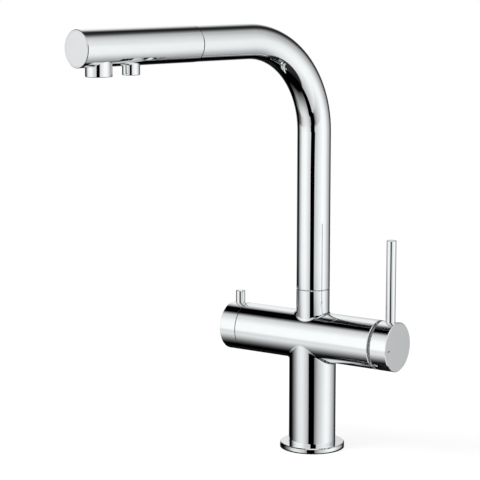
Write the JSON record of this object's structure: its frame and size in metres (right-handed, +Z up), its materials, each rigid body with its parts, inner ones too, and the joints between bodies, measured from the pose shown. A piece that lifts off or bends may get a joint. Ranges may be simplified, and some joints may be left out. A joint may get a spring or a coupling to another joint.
{
  "type": "three way filtered water tap",
  "caption": "Polished kitchen tap with a swivelling bent spout, pull-out head with separate mixed and filtered nozzles, side mixer lever and side filter valve.",
  "frame": {"origin": "centre of the base flange's underside, where the tap stands on the worktop", "axes": "+Z up along the column, +X along the barrel towards the mixer handle, -Y towards the user; the spout is stored swung 12 degrees towards the filter handle"},
  "size_m": [0.1645, 0.2717, 0.4342],
  "materials": {
    "polished_chrome": "polished",
    "satin_chrome": "satin",
    "brass": "turned",
    "steel": "turned",
    "black_rubber": "moulded",
    "grey_plastic": "moulded",
    "white_plastic": "moulded",
    "ceramic": "lapped",
    "hose_braid": "woven",
    "red_enamel": "baked"
  },
  "bodies": {
    "tap_base": {"tap_body": "polished_chrome", "base_flange": "polished_chrome", "base_seal": "black_rubber", "fixing_shank": "brass", "clamp_gasket": "black_rubber", "clamp_washer": "steel", "shank_nut": "brass", "swivel_washer": "white_plastic", "swivel_stop_screw": "steel", "cartridge_housing": "grey_plastic", "cartridge_seals": "black_rubber", "cartridge_fixed_disc": "ceramic", "cartridge_clip": "steel", "cartridge_nut": "brass", "cover_ring": "polished_chrome", "valve_housing": "brass", "valve_o_ring": "black_rubber", "valve_seal": "black_rubber", "valve_fixed_disc": "ceramic"},
    "mixer_carrier": {"disc_carrier": "grey_plastic", "tilt_pin": "steel"},
    "mixer_disc": {"disc_driver": "white_plastic", "cartridge_moving_disc": "ceramic"},
    "mixer_handle": {"mixer_stem": "steel", "mixer_drum": "polished_chrome", "mixer_lever": "polished_chrome", "mixer_set_screw": "steel", "hot_mark": "red_enamel"},
    "filter_handle": {"filter_drum": "polished_chrome", "filter_lever": "polished_chrome", "filter_set_screw": "steel", "filter_spindle": "brass", "spindle_o_ring": "black_rubber", "valve_moving_disc": "ceramic"},
    "spout": {"spout_tube": "polished_chrome", "spout_foot": "brass", "spout_o_rings": "black_rubber", "spout_glide_rings": "white_plastic", "dock_bush": "white_plastic", "pull_hose": "hose_braid", "hose_coupling": "brass"},
    "head": {"head_shell": "polished_chrome", "head_end_cap": "satin_chrome", "head_spigot": "brass", "head_waterway": "grey_plastic", "hose_ferrule": "brass", "main_nozzle": "polished_chrome", "aerator": "white_plastic", "filter_nozzle": "polished_chrome", "filter_jet": "white_plastic", "nozzle_seals": "black_rubber"}
  },
  "joints": [
    {"name": "spout_swivel", "type": "hinge", "parent": "tap_base", "child": "spout", "pos_m": [0, 0, 0.1365], "axis": [0, 0, 1], "range_deg": [-58, 82]},
    {"name": "head_pull", "type": "slide", "parent": "spout", "child": "head", "axis": [-0.2079, -0.9781, 0], "range_m": [0, 0.2], "deforming": ["pull_hose"]},
    {"name": "mixer_turn", "type": "hinge", "parent": "tap_base", "child": "mixer_carrier", "pos_m": [0.056, 0, 0.096], "axis": [1, 0, 0], "range_deg": [-45, 45]},
    {"name": "mixer_tilt", "type": "hinge", "parent": "mixer_carrier", "child": "mixer_handle", "pos_m": [0.056, 0, 0.096], "axis": [0, 1, 0], "range_deg": [0, 25]},
    {"name": "disc_slide", "type": "slide", "parent": "mixer_carrier", "child": "mixer_disc", "axis": [0, 0, 1], "range_m": [0, 0.004]},
    {"name": "filter_turn", "type": "hinge", "parent": "tap_base", "child": "filter_handle", "pos_m": [-0.0742, 0, 0.096], "axis": [1, 0, 0], "range_deg": [0, 90]}
  ],
  "couplings": [
    {"joint": "disc_slide", "follows": "mixer_tilt", "m_per_rad": 0.009}
  ]
}
